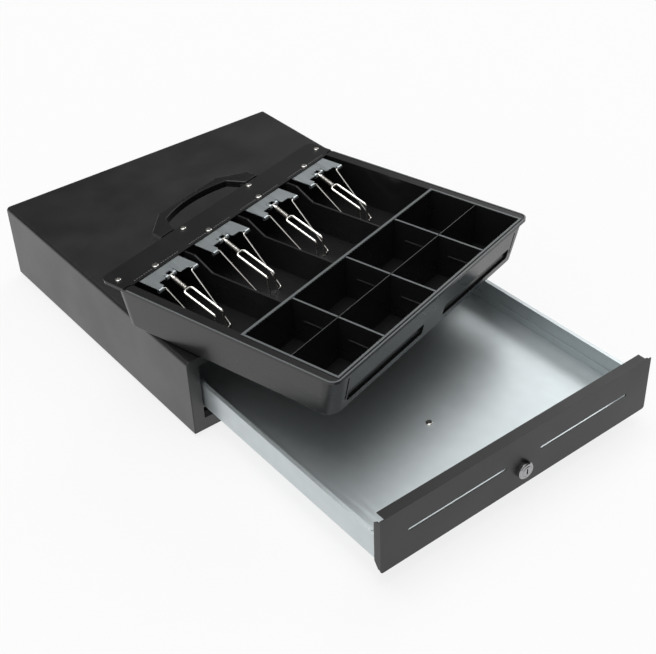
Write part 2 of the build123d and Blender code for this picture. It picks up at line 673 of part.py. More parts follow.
def tray_handle():
    """Flat moulded grip behind the plate, on two lugs under the rear rim."""
    z0, z1 = TRAY_H - 8.0, TRAY_H + 0.6
    y0, y1, y2 = 325.0, 340.5, 363.0
    outline = Polyline(
        (-86, y0), (-85, y1), (-50.5, y2), (50.5, y2), (85, y1), (86, y0), (65, y0), (53.5, 347.5),
        close=False,
    )
    grip = ThreePointArc((53.5, 347.5), (0, 356.8), (-53.5, 347.5))
    rest = Polyline((-53.5, 347.5), (-65, y0), (-86, y0))
    face = make_face(Wire([*outline.edges(), grip, *rest.edges()]))
    handle = Pos(0, 0, z0) * extrude(face, z1 - z0)
    handle = chamfer(handle.faces().sort_by(Axis.Z)[-1].edges(), 0.8)
    for side in (-1, 1):
        x0, x1 = sorted((side * 50.0, side * 76.0))
        lug = box(x0, x1, 308, y0 + 6, TRAY_H - RIM_T - 3.2, TRAY_H - RIM_T)
        lug -= box(-60, 60, y0, y0 + 9, 0, TRAY_H)
        handle += lug - rod((side * 59, 315.5, 30), (side * 59, 315.5, 60), 2.05)
    return handle


def plate_screws():
    """Two corner screws, and two longer ones through plate, rim and handle lugs."""
    z = TRAY_H + PLATE_T
    corners = [Pos(x, y, z) * dome_screw(3.4, 1.5, 1.7, 11) for x, y in CORNER_SCREWS]
    grips = [Pos(x, y, z) * dome_screw(3.7, 1.6, 2.0, 9) for x, y in HANDLE_SCREWS]
    return Compound(corners + grips)


def clip_rivets():
    """Four domed rivets that hold the note clips under the plate."""
    rivets = []
    for x in CLIP_X:
        head = Cylinder(4.0, 1.6, align=(Align.CENTER, Align.CENTER, Align.MIN))
        head = fillet(head.edges().sort_by(Axis.Z)[-1], 1.2)
        stem = head + rod((0, 0, 0.2), (0, 0, -PLATE_T - 1.2), 2.0)
        tail = stem + rod((0, 0, -PLATE_T - 1.2), (0, 0, -PLATE_T - 2.2), 3.0)
        rivets.append(Pos(x, CLIP_RIVET_Y, TRAY_H + PLATE_T) * tail)
    return Compound(rivets)


def clip_bracket(x):
    """Zinc-plated clip plate with two outer knuckles and a split middle one."""
    z1 = TRAY_H
    z0 = z1 - 1.2
    sheet = box(-31, 31, KNUCKLE_Y + 1.5, 295, z0, z1)
    sheet -= box(-8.5, 8.5, KNUCKLE_Y - 5, FORK_Y + 4.5, z0 - 1, z1 + 1)
    sheet -= box(-21, -8, KNUCKLE_Y - 5, FORK_Y - 2.5, z0 - 1, z1 + 1)
    sheet -= box(8, 21, KNUCKLE_Y - 5, FORK_Y - 7.5, z0 - 1, z1 + 1)
    lobes = sheet.edges().filter_by(Axis.Z).filter_by_position(Axis.Y, KNUCKLE_Y + 3, FORK_Y - 1)
    sheet = fillet(lobes, 2.2)
    sheet -= Pos(0, CLIP_RIVET_Y, z0) * Cylinder(2.0, 6)
    for x0, x1 in ((-31, -23.8), (23.8, 31)):
        curl = rod((x0, KNUCKLE_Y, KNUCKLE_Z), (x1, KNUCKLE_Y, KNUCKLE_Z), 2.4)
        curl += box(x0, x1, KNUCKLE_Y, KNUCKLE_Y + 4, KNUCKLE_Z + 1.2, z1)
        sheet += curl - rod((x0 - 1, KNUCKLE_Y, KNUCKLE_Z), (x1 + 1, KNUCKLE_Y, KNUCKLE_Z), LEG_R + RUN_FIT)
        sheet -= rod((x0 - 1, KNUCKLE_Y, KNUCKLE_Z), (x1 + 1, KNUCKLE_Y, KNUCKLE_Z), LEG_R + RUN_FIT)
    for x0, x1 in ((-7.5, -3.6), (3.6, 7.5)):
        curl = rod((x0, FORK_Y, FORK_Z), (x1, FORK_Y, FORK_Z), 2.9)
        curl += box(x0, x1, FORK_Y, FORK_Y + 6, FORK_Z + 1.7, z1)
        sheet += curl
        sheet -= rod((x0 - 1, FORK_Y, FORK_Z), (x1 + 1, FORK_Y, FORK_Z), FORK_R + RUN_FIT)
    return Pos(x, 0, 0) * sheet


def note_leg(x, side):
    """Thin wire leg: axle in the outer knuckle, long leg, and a foot turned inwards."""
    foot_z = TRAY_FLOOR + LEG_R + AIR
    points = [
        (31, KNUCKLE_Y, KNUCKLE_Z), (21.0, KNUCKLE_Y, KNUCKLE_Z),
        (15.5, 197.5, foot_z), (9.2, 196.0, foot_z),
    ]
    leg = wire(points, [2.4, 2.4], LEG_R)
    if side < 0:
        leg = mirror(leg, Plane.YZ)
    return Pos(x, 0, 0) * leg


def note_fork(x):
    """Thick U-shaped wire on a shank, its two ends turned down onto the notes."""
    tip_y, tip_z = 198.0, 27.5
    end_z = TRAY_FLOOR + FORK_R + 1.0
    points = [
        (-6, tip_y - 1.5, end_z), (-6, tip_y, tip_z), (-6, FORK_BEND_Y, FORK_BEND_Z),
        (6, FORK_BEND_Y, FORK_BEND_Z), (6, tip_y, tip_z), (6, tip_y - 1.5, end_z),
    ]
    fork = wire(points, [4, 3.6, 3.6, 4], FORK_R)
    fork += rod((0, FORK_Y, FORK_Z), (0, FORK_BEND_Y, FORK_BEND_Z), SHANK_R)
    fork += rod((-7.5, FORK_Y, FORK_Z), (7.5, FORK_Y, FORK_Z), FORK_R)
    return Pos(x, 0, 0) * Compound([fork, fork_sleeve()])


def fork_sleeve():
    """Close-wound spring on the fork's shank, as a sleeve."""
    a = Vector(0, FORK_Y, FORK_Z)
    b = Vector(0, FORK_BEND_Y, FORK_BEND_Z)
    along = (b - a).normalized()
    sleeve = rod(tuple(a + along * 4.2), tuple(b - along * 1.6), 2.4)
    return sleeve - rod(tuple(a), tuple(b), SHANK_R)


def main():
    """Build every piece and write it to parts/."""
    save("casing_cover", casing_cover())
    save("casing_base", casing_base())
    save("rear_panel", rear_panel())
    save("front_frame", front_frame())
    save("rubber_feet", rubber_feet())
    save("rear_panel_screws", rear_panel_screws())
    for name, side in (("left", -1), ("right", 1)):
        save(f"{name}_rail", rail(side))
        save(f"{name}_roller_bracket", roller_bracket(side))
        save(f"{name}_front_roller", front_roller(side))
        save(f"{name}_rear_roller", rear_roller(side))
    save("rear_roller_pins", rear_roller_pins())
    save("latch_bracket", latch_bracket())
    save("latch_hook", latch_hook())
    save("solenoid_frame", solenoid_frame())
    save("solenoid_coil", solenoid_coil())
    save("solenoid_plunger", solenoid_plunger())
    save("ejector_guide", ejector_guide())
    save("ejector_pusher", ejector_pusher())
    save("ejector_spring", ejector_spring())
    save("drawer_switch", drawer_switch())
    save("cable_socket", cable_socket())
    save("interface_board", interface_board())
    save("drawer_pan", drawer_pan())
    save("front_panel", front_panel())
    save("lock_housing", lock_housing())
    save("lock_nut", lock_nut())
    save("lock_plug", lock_plug())
    save("lock_cam", lock_cam())
    save("drawer_catch", drawer_catch())
    save("catch_rivet", catch_rivet())
    save("panel_rivets", panel_rivets())
    save("tray_moulding", in_till(tray_moulding()))
    for name, x in (("left", -COIN_DIVIDER_X), ("middle", 0), ("right", COIN_DIVIDER_X)):
        save(f"{name}_coin_divider", in_till(coin_divider(x)))
    save("coin_cross_divider", in_till(coin_cross_divider()))
    save("cover_plate", in_till(cover_plate()))
    save("tray_handle", in_till(tray_handle()))
    save("plate_screws", in_till(plate_screws()))
    save("clip_rivets", in_till(clip_rivets()))
    for number, x in enumerate(CLIP_X, start=1):
        save(f"clip_bracket_{number}", in_till(clip_bracket(x)))
        save(f"note_fork_{number}", in_till(note_fork(x)))
        save(f"left_note_leg_{number}", in_till(note_leg(x, -1)))
        save(f"right_note_leg_{number}", in_till(note_leg(x, 1)))


main()
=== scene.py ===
"""Looks, small details and stage for the steel cash drawer with its lifted-out till."""
import json
import math

import bmesh
import bpy
from mathutils import Matrix, Vector

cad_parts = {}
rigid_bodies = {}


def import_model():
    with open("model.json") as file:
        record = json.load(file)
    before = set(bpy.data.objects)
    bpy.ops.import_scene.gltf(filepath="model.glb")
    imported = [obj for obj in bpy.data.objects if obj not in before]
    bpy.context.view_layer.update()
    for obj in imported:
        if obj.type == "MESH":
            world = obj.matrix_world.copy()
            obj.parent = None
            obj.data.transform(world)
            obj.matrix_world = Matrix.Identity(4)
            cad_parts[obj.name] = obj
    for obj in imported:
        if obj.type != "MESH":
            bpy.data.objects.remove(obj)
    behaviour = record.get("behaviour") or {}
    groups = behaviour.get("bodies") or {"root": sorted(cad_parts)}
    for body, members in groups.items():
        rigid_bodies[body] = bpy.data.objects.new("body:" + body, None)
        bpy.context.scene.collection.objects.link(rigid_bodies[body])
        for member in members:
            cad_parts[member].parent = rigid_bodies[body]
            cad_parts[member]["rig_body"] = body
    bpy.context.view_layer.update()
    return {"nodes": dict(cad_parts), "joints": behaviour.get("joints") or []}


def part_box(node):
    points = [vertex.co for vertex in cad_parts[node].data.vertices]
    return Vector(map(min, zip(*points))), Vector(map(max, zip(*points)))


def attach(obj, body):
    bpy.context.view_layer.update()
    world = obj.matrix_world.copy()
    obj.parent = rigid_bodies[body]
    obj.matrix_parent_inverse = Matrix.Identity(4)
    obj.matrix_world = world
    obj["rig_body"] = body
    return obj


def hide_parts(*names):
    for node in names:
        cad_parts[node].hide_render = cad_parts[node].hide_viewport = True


bl_info = {
    "name": "Cash drawer and till",
    "version": (1, 0, 0),
    "blender": (4, 5, 0),
    "location": "View3D > Sidebar > Cash drawer",
    "description": "Finishes a steel cash drawer: coats, plating, moulded till, clip springs and stage",
    "category": "Object",
}

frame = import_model()
NODES = frame["nodes"]
JOINTS = {joint["name"]: joint for joint in frame["joints"]}
CLIPS = (1, 2, 3, 4)

# Lengths are in metres. Places on the till are in the till's own frame.
FORK_SEAT = (0.2665, 0.0518)    # a fork's pivot: how far to the rear, and how high
SHANK_POINT = (0.2430, 0.0425)  # a point further along the resting fork's shank
SPRING_START = 0.0048           # from the pivot to the spring's first turn
SPRING_LENGTH = 0.0190
SPRING_RADIUS = 0.0024
SPRING_WIRE = 0.00052

# The stretches of wall between the dividers' ends, from left to right.
RIB_SPANS = ((-0.1725, -0.0985), (-0.0920, -0.0035), (0.0035, 0.0915), (0.0985, 0.1725))
# Each ribbed wall's name, with its ribs' middle to the rear, middle height, height and lean in degrees.
RIB_WALLS = (
    ("coin", 0.1256, 0.0523, 0.0060, 0.0),
    ("front", 0.0064, 0.0523, 0.0060, 12.4),
    ("note", 0.1283, 0.0503, 0.0060, 0.0),
)
RIB_DEPTH = 0.0016

DIMPLE_MIDDLES = (-0.134, -0.045, 0.045, 0.134)
DIMPLE_ROW = 0.2872             # how far to the rear the row lies
DIMPLE_GAP = 0.008              # from a middle to the first dimple on each side
DIMPLE_COUNT = 8
DIMPLE_RADIUS = 0.0010
DIMPLE_HEIGHT = 0.5             # a dome's height as a share of its radius

CONTACT_COUNT = 6
CONTACT_PITCH = 0.00124
CONTACT_SIZE = (0.0004, 0.0070, 0.0004)
CONTACT_START = (-0.0031, -0.0060, -0.0020)  # from the socket's middle, rear face and middle height
CONTACT_LEAN = 18.0

# Rounding on a piece's edges, as a share of the edge width.
PANEL_EDGE = 0.7
PAN_EDGE = 0.6
CLIP_EDGE = 0.5
LOCK_EDGE = 0.6
TRAY_EDGE = 1.3

MERGE_DISTANCE = 2e-6           # corners closer than this become one before the rounding
FLAT_ANGLE = 0.6                # neighbouring faces within this many degrees become one
SHARP_ANGLE = 28.0              # edges sharper than this many degrees are rounded
FACE_WEIGHT = 90                # how strongly large faces hold the shading flat

HIGHLIGHT_RISE = 0.0003               # the painted crest highlight's height over the cover plate's underside
HIGHLIGHT_FADE = 0.0002               # the height over which the painted highlight fades in
NOISE_SPAN = (0.3, 0.7)         # most of a noise texture's values lie in this span

# Glows in the surroundings: azimuth and elevation in degrees, tightness and strength.
GLOWS = ((66.0, 38.5, 34.0, 4.2), (-120.0, 46.0, 2.0, 0.92), (-30.0, 84.0, 20.0, 5.0))
BASE_GLOW = 0.04
KEY_LIGHT = (20.0, 78.0, 40.0)  # azimuth, elevation and width across, in degrees
FLOOR_HALF = 300.0
FLOOR_GLOW = 0.79
CAMERA_PLACE = (-0.69589, -1.13352, 0.90948)
CAMERA_TURN = (-36.631, 36.612, -2.475)  # azimuth, elevation and roll in degrees
CAMERA_SHIFT = -0.0024
CAMERA_REACH = 1000.0
SENSOR_WIDTH = 36.0


# ---------------------------------------------------------------- settings
class CoatSettings(bpy.types.PropertyGroup):
    """Paint, plating and plastic."""

    coat_color: bpy.props.FloatVectorProperty(
        name="Powder coat", description="Colour of the painted steel",
        subtype="COLOR", default=(0.0045, 0.0045, 0.0047), min=0, max=1)
    coat_roughness: bpy.props.FloatProperty(
        name="Coat roughness", description="How dull the painted steel is",
        subtype="FACTOR", default=0.36, min=0, max=1)
    deep_level: bpy.props.FloatProperty(
        name="Deep coat sheen", description="How much the front panel's and plate's coat reflects",
        subtype="FACTOR", default=0.27, min=0, max=1)
    plastic_color: bpy.props.FloatVectorProperty(
        name="Moulding", description="Colour of the till's plastic",
        subtype="COLOR", default=(0.0105, 0.0105, 0.0108), min=0, max=1)
    # The walls' top edges are painted in this lighter colour as a highlight.
    crest_highlight_color: bpy.props.FloatVectorProperty(
        name="Painted crest highlight", description="Colour painted on the walls' top edges as a highlight",
        subtype="COLOR", default=(0.125, 0.135, 0.138), min=0, max=1)
    plastic_roughness: bpy.props.FloatProperty(
        name="Moulding roughness", description="How dull the till's plastic is",
        subtype="FACTOR", default=0.26, min=0, max=1)
    zinc_color: bpy.props.FloatVectorProperty(
        name="Zinc", description="Colour of the galvanised sheet",
        subtype="COLOR", default=(0.57, 0.62, 0.635), min=0, max=1)
    nickel_color: bpy.props.FloatVectorProperty(
        name="Nickel", description="Colour of the plated wire and screws",
        subtype="COLOR", default=(0.84, 0.82, 0.78), min=0, max=1)
    divider_round: bpy.props.FloatProperty(
        name="Divider rounding", description="Radius along the coin dividers' edges",
        subtype="DISTANCE", unit="LENGTH", default=0.0011, min=0.0002, max=0.0011)
    edge_width: bpy.props.FloatProperty(
        name="Edge width", description="Width of the rounding on sheet and moulded edges",
        subtype="DISTANCE", unit="LENGTH", default=0.0006, min=0.0001, max=0.002)


class DetailSettings(bpy.types.PropertyGroup):
    """Repeated small features."""

    slot_pitch: bpy.props.FloatProperty(
        name="Divider slot pitch", description="Distance between the ribs that hold coin dividers",
        subtype="DISTANCE", unit="LENGTH", default=0.0049, min=0.002, max=0.02)
    slot_rib: bpy.props.FloatProperty(
        name="Rib thickness", description="Thickness of each rib",
        subtype="DISTANCE", unit="LENGTH", default=0.0012, min=0.0005, max=0.003)
    dimple_pitch: bpy.props.FloatProperty(
        name="Dimple pitch", description="Distance between the plate's pressed dimples",
        subtype="DISTANCE", unit="LENGTH", default=0.0037, min=0.002, max=0.02)
    spring_turns: bpy.props.FloatProperty(
        name="Spring turns", description="Turns of the spring on each fork's shank",
        default=15.0, min=3, max=40)


class StageSettings(bpy.types.PropertyGroup):
    """Camera and light."""

    lens: bpy.props.FloatProperty(
        name="Lens", description="Focal length on a 36 mm wide sensor, in millimetres",
        default=67.41, min=10, max=300)
    floor_color: bpy.props.FloatVectorProperty(
        name="Floor", description="Colour of the plain floor",
        subtype="COLOR", default=(0.16, 0.16, 0.16), min=0, max=1)
    key_strength: bpy.props.FloatProperty(
        name="Key light", description="Strength of the large soft key light",
        default=0.5, min=0, max=20)


# ---------------------------------------------------------------- materials
def add_node(tree, kind, values=(), **attributes):
    """A node with its attributes and the given (input, value) pairs."""
    node = tree.nodes.new(kind)
    for key, value in attributes.items():
        setattr(node, key, value)
    for key, value in values:
        node.inputs[key].default_value = value
    return node


def shade_of(color, factor):
    """A colour made lighter or darker, with alpha."""
    return tuple(min(1.0, c * factor) for c in color) + (1.0,)


def start_material(name):
    """A new node material, its tree, its shader and its object coordinates."""
    material = bpy.data.materials.new(name)
    material.use_nodes = True
    tree = material.node_tree
    place = add_node(tree, "ShaderNodeTexCoord")
    return material, tree, tree.nodes["Principled BSDF"], place.outputs["Object"]


def noise_of(tree, place, scale, detail=3.0, stretch=None):
    """Noise on object coordinates, optionally stretched along an axis."""
    if stretch:
        mapping = add_node(tree, "ShaderNodeMapping", [("Scale", stretch)])
        tree.links.new(place, mapping.inputs["Vector"])
        place = mapping.outputs["Vector"]
    noise = add_node(tree, "ShaderNodeTexNoise", [
        ("Scale", scale), ("Detail", detail), ("Roughness", 0.55)])
    tree.links.new(place, noise.inputs["Vector"])
    return noise.outputs["Fac"]


def vary_roughness(tree, source, shader, low, high):
    """Let a noise pattern move the roughness between low and high."""
    ranged = add_node(tree, "ShaderNodeMapRange", [
        ("From Min", NOISE_SPAN[0]), ("From Max", NOISE_SPAN[1]), ("To Min", low), ("To Max", high)])
    tree.links.new(source, ranged.inputs["Value"])
    tree.links.new(ranged.outputs["Result"], shader.inputs["Roughness"])


def vary_color(tree, source, shader, color, start, end):
    """Let a 0 to 1 pattern move the base colour between two brightnesses of one colour."""
    mix = add_node(tree, "ShaderNodeMix", data_type="RGBA")
    mix.inputs["A"].default_value = shade_of(color, start)
    mix.inputs["B"].default_value = shade_of(color, end)
    tree.links.new(source, mix.inputs["Factor"])
    tree.links.new(mix.outputs["Result"], shader.inputs["Base Color"])


def bump(tree, source, shader, distance, strength):
    """Link a pattern to the shader's normal as fine relief."""
    relief = add_node(tree, "ShaderNodeBump", [("Strength", strength), ("Distance", distance)])
    tree.links.new(source, relief.inputs["Height"])
    tree.links.new(relief.outputs["Normal"], shader.inputs["Normal"])


def powder_coat(name, color, roughness, level=0.5):
    """Satin powder coat: faint orange peel, patches a little duller than others."""
    material, tree, shader, place = start_material(name)
    shader.inputs["IOR"].default_value = 1.7
    shader.inputs["Specular IOR Level"].default_value = level
    cloud = noise_of(tree, place, scale=14.0)
    speckle = noise_of(tree, place, scale=300.0, detail=2.0)
    peel = noise_of(tree, place, scale=900.0, detail=2.0)
    vary_roughness(tree, cloud, shader, roughness - 0.03, roughness + 0.05)
    vary_color(tree, speckle, shader, color, start=0.88, end=1.14)
    bump(tree, peel, shader, distance=0.00004, strength=0.5)
    return material


def moulded_plastic(name, color, roughness):
    """Moulded plastic with a fine spark-eroded grain and faint flow marks."""
    material, tree, shader, place = start_material(name)
    shader.inputs["IOR"].default_value = 1.5
    flow = noise_of(tree, place, scale=9.0, detail=4.0, stretch=(1.0, 0.35, 1.0))
    cloud = noise_of(tree, place, scale=60.0)
    grain = noise_of(tree, place, scale=1400.0, detail=1.0)
    vary_roughness(tree, flow, shader, roughness - 0.04, roughness + 0.06)
    vary_color(tree, cloud, shader, color, start=0.85, end=1.2)
    bump(tree, grain, shader, distance=0.00003, strength=0.35)
    return material


def paint_crest_highlight(material, height, highlight_color):
    """Lighten the plastic above a height: a painted highlight on the walls' top edges."""
    tree = material.node_tree
    shader = tree.nodes["Principled BSDF"]
    place = next(node for node in tree.nodes if node.bl_idname == "ShaderNodeTexCoord")
    split = add_node(tree, "ShaderNodeSeparateXYZ")
    tree.links.new(place.outputs["Object"], split.inputs["Vector"])
    above = add_node(tree, "ShaderNodeMapRange", [
        ("From Min", height - HIGHLIGHT_FADE), ("From Max", height)])
    tree.links.new(split.outputs["Z"], above.inputs["Value"])
    mix = add_node(tree, "ShaderNodeMix", data_type="RGBA")
    tree.links.new(above.outputs["Result"], mix.inputs["Factor"])
    tree.links.new(shader.inputs["Base Color"].links[0].from_socket, mix.inputs["A"])
    mix.inputs["B"].default_value = tuple(highlight_color) + (1.0,)
    tree.links.new(mix.outputs["Result"], shader.inputs["Base Color"])


def zinc_sheet(name, color, roughness, metallic=0.9):
    """Galvanised sheet: soft spangle, rolling streaks and cloudy sheen."""
    material, tree, shader, place = start_material(name)
    shader.inputs["Metallic"].default_value = metallic
    spangle = add_node(tree, "ShaderNodeTexVoronoi", [("Scale", 70.0)], feature="SMOOTH_F1")
    tree.links.new(place, spangle.inputs["Vector"])
    streak = noise_of(tree, place, scale=240.0, stretch=(1.0, 0.03, 1.0))
    vary_roughness(tree, streak, shader, roughness - 0.03, roughness + 0.05)
    vary_color(tree, spangle.outputs["Distance"], shader, color, start=1.03, end=0.955)
    bump(tree, streak, shader, distance=0.00002, strength=0.5)
    return material


def bright_plate(name, color, roughness):
    """Bright plated metal with fine drawing marks."""
    material, tree, shader, place = start_material(name)
    shader.inputs["Metallic"].default_value = 1.0
    marks = noise_of(tree, place, scale=500.0, detail=2.0)
    cloud = noise_of(tree, place, scale=120.0)
    vary_roughness(tree, marks, shader, roughness - 0.04, roughness + 0.06)
    vary_color(tree, cloud, shader, color, start=0.92, end=1.05)
    bump(tree, marks, shader, distance=0.00001, strength=0.4)
    return material


def soft_polymer(name, color, roughness):
    """Rubber or nylon: matt, with a cloudy tone."""
    material, tree, shader, place = start_material(name)
    grain = noise_of(tree, place, scale=220.0)
    cloud = noise_of(tree, place, scale=35.0)
    vary_roughness(tree, grain, shader, roughness - 0.06, roughness + 0.06)
    vary_color(tree, cloud, shader, color, start=0.9, end=1.08)
    bump(tree, grain, shader, distance=0.00005, strength=0.4)
    return material


def wound_wire(name, color):
    """Enamelled winding: fine turns along the coil, with painted shade in the grooves between them."""
    material, tree, shader, place = start_material(name)
    shader.inputs["Metallic"].default_value = 0.8
    shader.inputs["Roughness"].default_value = 0.32
    turns = add_node(
        tree, "ShaderNodeTexWave", [("Scale", 420.0), ("Distortion", 0.4)], bands_direction="Y")
    tree.links.new(place, turns.inputs["Vector"])
    # The bands darken into painted shade in the grooves between turns.
    vary_color(tree, turns.outputs["Fac"], shader, color, start=0.45, end=1.1)
    bump(tree, turns.outputs["Fac"], shader, distance=0.0002, strength=0.8)
    return material


# ---------------------------------------------------------------- shared mesh helpers
def put_material(obj, material):
    """Give every slot of the object this material."""
    if not obj.material_slots:
        obj.data.materials.append(material)
    for slot in obj.material_slots:
        slot.material = material


def paint(nodes, material):
    """Finish CAD nodes as they are."""
    for name in nodes:
        put_material(NODES[name], material)


def baked(obj):
    """The object's evaluated mesh as a plain mesh, with its modifiers removed."""
    depsgraph = bpy.context.evaluated_depsgraph_get()
    mesh = bpy.data.meshes.new_from_object(
        obj.evaluated_get(depsgraph), preserve_all_data_layers=True, depsgraph=depsgraph)
    obj.modifiers.clear()
    obj.data = mesh
    return obj


def new_object(name, mesh):
    """Link a new object that holds the mesh."""
    obj = bpy.data.objects.new(name, mesh)
    bpy.context.scene.collection.objects.link(obj)
    return obj


def soften(node, material, width, segments=2):
    """Put a copy with rounded edges in the place of a CAD node."""
    source = NODES[node]
    shell = bmesh.new()
    shell.from_mesh(source.data)
    bmesh.ops.remove_doubles(shell, verts=shell.verts, dist=MERGE_DISTANCE)
    bmesh.ops.dissolve_limit(
        shell, angle_limit=math.radians(FLAT_ANGLE), verts=shell.verts, edges=shell.edges)
    mesh = bpy.data.meshes.new(node + "_soft")
    shell.to_mesh(mesh)
    shell.free()
    piece = new_object(node + "_piece", mesh)
    bevel = piece.modifiers.new("Edges", "BEVEL")
    bevel.width = width
    bevel.segments = segments
    bevel.limit_method = "ANGLE"
    bevel.angle_limit = math.radians(SHARP_ANGLE)
    normals = piece.modifiers.new("Normals", "WEIGHTED_NORMAL")
    normals.weight = FACE_WEIGHT
    mesh.shade_smooth()
    baked(piece)
    put_material(piece, material)
    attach(piece, source["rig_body"])
    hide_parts(node)


def till_frame():
    """The till's own frame: across, to the rear and up, from its front middle underside."""
    first = Vector(JOINTS["fork_1_lift"]["pos_m"])
    last = Vector(JOINTS["fork_4_lift"]["pos_m"])
    across = (last - first).normalized()
    rear = Vector((-across.y, across.x, 0.0))
    up = Vector((0.0, 0.0, 1.0))
    origin = (first + last) / 2 - rear * FORK_SEAT[0] - up * FORK_SEAT[1]
    turn = Matrix((across, rear, up)).transposed().to_4x4()
    return Matrix.Translation(origin) @ turn


# ---------------------------------------------------------------- geometry node trees
def start_tree(name, inputs):
    """A geometry tree with the given (name, socket type, default) inputs."""
    tree = bpy.data.node_groups.new(name, "GeometryNodeTree")
    tree.interface.new_socket("Geometry", in_out="OUTPUT", socket_type="NodeSocketGeometry")
    for label, kind, value in inputs:
        socket = tree.interface.new_socket(label, in_out="INPUT", socket_type=kind)
        if value is not None:
            socket.default_value = value
    return tree, tree.nodes.new("NodeGroupInput"), tree.nodes.new("NodeGroupOutput")


def end_tree(tree, geometry, entry, out):
    """Realize, set the material and hand over to the output."""
    real = tree.nodes.new("GeometryNodeRealizeInstances")
    finish = tree.nodes.new("GeometryNodeSetMaterial")
    tree.links.new(geometry, real.inputs["Geometry"])
    tree.links.new(real.outputs["Geometry"], finish.inputs["Geometry"])
    tree.links.new(entry.outputs["Material"], finish.inputs["Material"])
    tree.links.new(finish.outputs["Geometry"], out.inputs["Geometry"])


def row_tree():
    """A straight row of small blocks, each leaning by the same angle."""
    tree, entry, out = start_tree("Row of blocks", [
        ("Start", "NodeSocketVector", (0, 0, 0)), ("Step", "NodeSocketVector", (0.005, 0, 0)),
        ("Count", "NodeSocketInt", 10), ("Size", "NodeSocketVector", (0.001, 0.001, 0.01)),
        ("Lean", "NodeSocketVector", (0, 0, 0)), ("Material", "NodeSocketMaterial", None)])
    line = tree.nodes.new("GeometryNodeMeshLine")
    block = tree.nodes.new("GeometryNodeMeshCube")
    place = tree.nodes.new("GeometryNodeInstanceOnPoints")
    for label, socket in (("Start", "Start Location"), ("Step", "Offset"), ("Count", "Count")):
        tree.links.new(entry.outputs[label], line.inputs[socket])
    tree.links.new(entry.outputs["Size"], block.inputs["Size"])
    tree.links.new(line.outputs["Mesh"], place.inputs["Points"])
    tree.links.new(block.outputs["Mesh"], place.inputs["Instance"])
    tree.links.new(entry.outputs["Lean"], place.inputs["Rotation"])
    end_tree(tree, place.outputs["Instances"], entry, out)
    return tree


def dimple_tree():
    """A straight row of low domes."""
    tree, entry, out = start_tree("Row of domes", [
        ("Start", "NodeSocketVector", (0, 0, 0)), ("Step", "NodeSocketVector", (0.005, 0, 0)),
        ("Count", "NodeSocketInt", 10), ("Radius", "NodeSocketFloat", 0.001),
        ("Flatten", "NodeSocketVector", (1, 1, 0.4)), ("Material", "NodeSocketMaterial", None)])
    line = tree.nodes.new("GeometryNodeMeshLine")
    dome = tree.nodes.new("GeometryNodeMeshUVSphere")
    dome.inputs["Segments"].default_value = 12
    dome.inputs["Rings"].default_value = 8
    place = tree.nodes.new("GeometryNodeInstanceOnPoints")
    for label, socket in (("Start", "Start Location"), ("Step", "Offset"), ("Count", "Count")):
        tree.links.new(entry.outputs[label], line.inputs[socket])
    tree.links.new(entry.outputs["Radius"], dome.inputs["Radius"])
    tree.links.new(line.outputs["Mesh"], place.inputs["Points"])
    tree.links.new(dome.outputs["Mesh"], place.inputs["Instance"])
    tree.links.new(entry.outputs["Flatten"], place.inputs["Scale"])
    end_tree(tree, place.outputs["Instances"], entry, out)
    return tree


def spring_tree():
    """A close-wound spring along +Z."""
    tree, entry, out = start_tree("Wound spring", [
        ("Turns", "NodeSocketFloat", 12.0), ("Coil Radius", "NodeSocketFloat", 0.0024),
        ("Wire Radius", "NodeSocketFloat", 0.0005), ("Length", "NodeSocketFloat", 0.02),
        ("Material", "NodeSocketMaterial", None)])
    spiral = tree.nodes.new("GeometryNodeCurveSpiral")
    spiral.inputs["Resolution"].default_value = 20
    ring = tree.nodes.new("GeometryNodeCurvePrimitiveCircle")
    ring.inputs["Resolution"].default_value = 8
    skin = tree.nodes.new("GeometryNodeCurveToMesh")
    skin.inputs["Fill Caps"].default_value = True
    tree.links.new(entry.outputs["Turns"], spiral.inputs["Rotations"])
    for socket in ("Start Radius", "End Radius"):
        tree.links.new(entry.outputs["Coil Radius"], spiral.inputs[socket])
    tree.links.new(entry.outputs["Length"], spiral.inputs["Height"])
    tree.links.new(entry.outputs["Wire Radius"], ring.inputs["Radius"])
    tree.links.new(spiral.outputs["Curve"], skin.inputs["Curve"])
    tree.links.new(ring.outputs["Curve"], skin.inputs["Profile Curve"])
    end_tree(tree, skin.outputs["Mesh"], entry, out)
    return tree


def grown(name, tree, values):
    """A plain mesh grown by a geometry tree with the given inputs."""
    obj = new_object(name, bpy.data.meshes.new(name))
    modifier = obj.modifiers.new("Grow", "NODES")
    modifier.node_group = tree
    for item in tree.interface.items_tree:
        if item.in_out == "INPUT" and item.name in values:
            modifier[item.identifier] = values[item.name]
    return baked(obj)


def joined(name, parts, matrix=None):
    """One object from several, moved by the matrix."""
    shell = bmesh.new()
    for part in parts:
        shell.from_mesh(part.data)
    material = next(item for item in parts[0].data.materials if item)
    for part in parts:
        bpy.data.objects.remove(part)
    for face in shell.faces:
        face.material_index = 0
    if matrix is not None:
        bmesh.ops.transform(shell, matrix=matrix, verts=shell.verts)
    bmesh.ops.recalc_face_normals(shell, faces=shell.faces)
    mesh = bpy.data.meshes.new(name)
    shell.to_mesh(mesh)
    shell.free()
    mesh.materials.append(material)
    return new_object(name, mesh)


